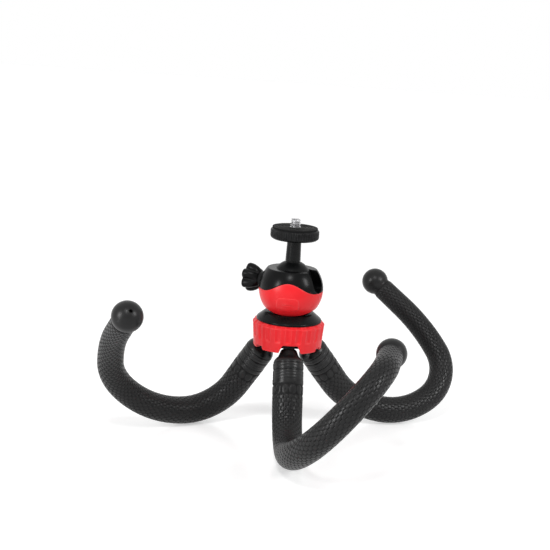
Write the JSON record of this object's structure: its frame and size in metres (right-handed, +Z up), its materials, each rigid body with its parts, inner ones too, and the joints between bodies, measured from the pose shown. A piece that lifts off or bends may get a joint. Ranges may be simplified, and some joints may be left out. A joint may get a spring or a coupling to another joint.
{
  "type": "flexible leg tripod",
  "caption": "Small camera stand: bendable rubber legs with ball feet under a fluted ring, and a ball head with a lobed lock knob, a drop notch and a threaded camera seat.",
  "frame": {"origin": "on the floor, at the middle of the footprint's bounding box; the head's upright axis is close behind it", "axes": "+Z up along the camera screw, -Y the way the front leg leaves the hub, +X to the right seen from the front"},
  "size_m": [0.2361, 0.2157, 0.139],
  "materials": {
    "red_plastic": "moulded red plastic, satin to glossy",
    "black_plastic": "moulded black plastic, satin",
    "collar_plastic": "moulded black plastic, glossy",
    "steel": "plain turned steel",
    "black_metal": "black anodised",
    "brass": "plain turned brass",
    "seat_plastic": "plain bearing plastic",
    "pad_rubber": "matt rubber",
    "sleeve_rubber": "matt black rubber with a scaled texture",
    "foot_rubber": "smooth soft black rubber",
    "core_metal": "soft bare aluminium"
  },
  "bodies": {
    "base": {"ring": "red_plastic", "hub_body": "black_plastic", "leg_pins": "steel", "hub_stud": "steel", "hub_nut": "steel", "bottom_cap": "black_plastic", "hub_screws": "steel", "base_flange": "black_plastic", "housing": "black_plastic", "red_cover": "red_plastic", "knob_nut": "brass"},
    "seat_cup": {"ball_seat": "seat_plastic"},
    "ball": {"ball": "black_metal"},
    "stem": {"stem": "black_metal", "disc_washer": "steel"},
    "camera_mount": {"seat_disc": "black_metal", "seat_pad": "pad_rubber", "camera_screw": "steel"},
    "brake": {"brake_shoe": "brass"},
    "knob": {"knob": "black_plastic", "knob_screw": "steel"},
    "front_leg_1": {"front_collar": "collar_plastic", "front_link_1": "core_metal", "front_sleeve_1": "sleeve_rubber"},
    "front_leg_2": {"front_link_2": "core_metal", "front_sleeve_2": "sleeve_rubber"},
    "front_leg_3": {"front_link_3": "core_metal", "front_sleeve_3": "sleeve_rubber"},
    "front_leg_4": {"front_link_4": "core_metal", "front_sleeve_4": "sleeve_rubber"},
    "front_leg_5": {"front_link_5": "core_metal", "front_sleeve_5": "sleeve_rubber", "front_foot": "foot_rubber"},
    "left_leg_1": {"left_collar": "collar_plastic", "left_link_1": "core_metal", "left_sleeve_1": "sleeve_rubber"},
    "left_leg_2": {"left_link_2": "core_metal", "left_sleeve_2": "sleeve_rubber"},
    "left_leg_3": {"left_link_3": "core_metal", "left_sleeve_3": "sleeve_rubber"},
    "left_leg_4": {"left_link_4": "core_metal", "left_sleeve_4": "sleeve_rubber"},
    "left_leg_5": {"left_link_5": "core_metal", "left_sleeve_5": "sleeve_rubber", "left_foot": "foot_rubber"},
    "right_leg_1": {"right_collar": "collar_plastic", "right_link_1": "core_metal", "right_sleeve_1": "sleeve_rubber"},
    "right_leg_2": {"right_link_2": "core_metal", "right_sleeve_2": "sleeve_rubber"},
    "right_leg_3": {"right_link_3": "core_metal", "right_sleeve_3": "sleeve_rubber"},
    "right_leg_4": {"right_link_4": "core_metal", "right_sleeve_4": "sleeve_rubber"},
    "right_leg_5": {"right_link_5": "core_metal", "right_sleeve_5": "sleeve_rubber", "right_foot": "foot_rubber"}
  },
  "joints": [
    {"name": "ball_rock", "type": "hinge", "parent": "base", "child": "seat_cup", "pos_m": [-0.00204, 0.01316, 0.1007], "axis": [0.8192, -0.5736, 0], "range_deg": [-20, 20]},
    {"name": "ball_tilt", "type": "hinge", "parent": "seat_cup", "child": "ball", "pos_m": [-0.00204, 0.01316, 0.1007], "axis": [0.5736, 0.8192, 0], "range_deg": [-20, 90]},
    {"name": "ball_pan", "type": "hinge", "parent": "ball", "child": "stem", "pos_m": [-0.00204, 0.01316, 0.1007], "axis": [0, 0, 1], "continuous": true},
    {"name": "screw_turn", "type": "hinge", "parent": "stem", "child": "camera_mount", "pos_m": [-0.00204, 0.01316, 0.1285], "axis": [0, 0, 1], "continuous": true},
    {"name": "brake_slide", "type": "slide", "parent": "base", "child": "brake", "axis": [-0.8192, 0.5736, 0], "range_m": [0, 0.0008]},
    {"name": "knob_turn", "type": "hinge", "parent": "brake", "child": "knob", "pos_m": [-0.02006, 0.02578, 0.0975], "axis": [-0.8192, 0.5736, 0], "range_deg": [0, 360]},
    {"name": "front_root", "type": "hinge", "parent": "base", "child": "front_leg_1", "pos_m": [-0.00204, 0.00186, 0.0635], "axis": [-1, 0, 0], "range_deg": [-25.5, 17.5]},
    {"name": "front_bend_1", "type": "hinge", "parent": "front_leg_1", "child": "front_leg_2", "pos_m": [-0.00192, -0.03134, 0.01134], "axis": [-0.9998, -0.0156, 0.0078], "range_deg": [-79, 6], "deforming": ["front_sleeve_1", "front_sleeve_2"]},
    {"name": "front_bend_2", "type": "hinge", "parent": "front_leg_2", "child": "front_leg_3", "pos_m": [0.00016, -0.06848, 0.01686], "axis": [-0.7858, 0.1521, 0.5994], "range_deg": [-28, 57], "deforming": ["front_sleeve_2", "front_sleeve_3"]},
    {"name": "front_bend_3", "type": "hinge", "parent": "front_leg_3", "child": "front_leg_4", "pos_m": [0.01291, -0.09588, 0.04029], "axis": [-0.7666, 0.1746, 0.6179], "range_deg": [-50, 35], "deforming": ["front_sleeve_3", "front_sleeve_4"]},
    {"name": "front_bend_4", "type": "hinge", "parent": "front_leg_4", "child": "front_leg_5", "pos_m": [0.03658, -0.0933, 0.06855], "axis": [-0.7616, 0.2088, 0.6135], "range_deg": [-79, 6], "deforming": ["front_sleeve_4", "front_sleeve_5"]},
    {"name": "left_root", "type": "hinge", "parent": "base", "child": "left_leg_1", "pos_m": [-0.01182, 0.01881, 0.0635], "axis": [0.5, 0.866, 0], "range_deg": [-31.9, 11.1]},
    {"name": "left_bend_1", "type": "hinge", "parent": "left_leg_1", "child": "left_leg_2", "pos_m": [-0.0457, 0.03194, 0.0134], "axis": [-0.4075, 0.7773, 0.4793], "range_deg": [-77, 8], "deforming": ["left_sleeve_1", "left_sleeve_2"]},
    {"name": "left_bend_2", "type": "hinge", "parent": "left_leg_2", "child": "left_leg_3", "pos_m": [-0.07988, 0.01636, 0.01278], "axis": [-0.4955, 0.8637, -0.0923], "range_deg": [-32, 53], "deforming": ["left_sleeve_2", "left_sleeve_3"]},
    {"name": "left_bend_3", "type": "hinge", "parent": "left_leg_3", "child": "left_leg_4", "pos_m": [-0.10637, -0.00043, 0.03479], "axis": [0.1087, 0.7761, 0.6211], "range_deg": [-49, 36], "deforming": ["left_sleeve_3", "left_sleeve_4"]},
    {"name": "left_bend_4", "type": "hinge", "parent": "left_leg_4", "child": "left_leg_5", "pos_m": [-0.10838, -0.02514, 0.06416], "axis": [0.7572, 0.5206, 0.3945], "range_deg": [-20, 65], "deforming": ["left_sleeve_4", "left_sleeve_5"]},
    {"name": "right_root", "type": "hinge", "parent": "base", "child": "right_leg_1", "pos_m": [0.00775, 0.01881, 0.0635], "axis": [0.5, -0.866, 0], "range_deg": [-39.2, 3.8]},
    {"name": "right_bend_1", "type": "hinge", "parent": "right_leg_1", "child": "right_leg_2", "pos_m": [0.04564, 0.03818, 0.0175], "axis": [-0.0133, -0.9176, -0.3973], "range_deg": [-42, 43], "deforming": ["right_sleeve_1", "right_sleeve_2"]},
    {"name": "right_bend_2", "type": "hinge", "parent": "right_leg_2", "child": "right_leg_3", "pos_m": [0.08233, 0.04452, 0.00927], "axis": [0.1741, -0.8951, 0.4104], "range_deg": [-48, 37], "deforming": ["right_sleeve_2", "right_sleeve_3"]},
    {"name": "right_bend_3", "type": "hinge", "parent": "right_leg_3", "child": "right_leg_4", "pos_m": [0.10938, 0.06069, 0.02878], "axis": [-0.0002, -0.797, 0.6039], "range_deg": [-78, 7], "deforming": ["right_sleeve_3", "right_sleeve_4"]},
    {"name": "right_bend_4", "type": "hinge", "parent": "right_leg_4", "child": "right_leg_5", "pos_m": [0.09646, 0.08182, 0.05724], "axis": [0.1847, -0.7222, 0.6666], "range_deg": [-20, 65], "deforming": ["right_sleeve_4", "right_sleeve_5"]}
  ],
  "couplings": [
    {"joint": "knob_turn", "follows": "brake_slide", "rad_per_m": 7853.9}
  ]
}
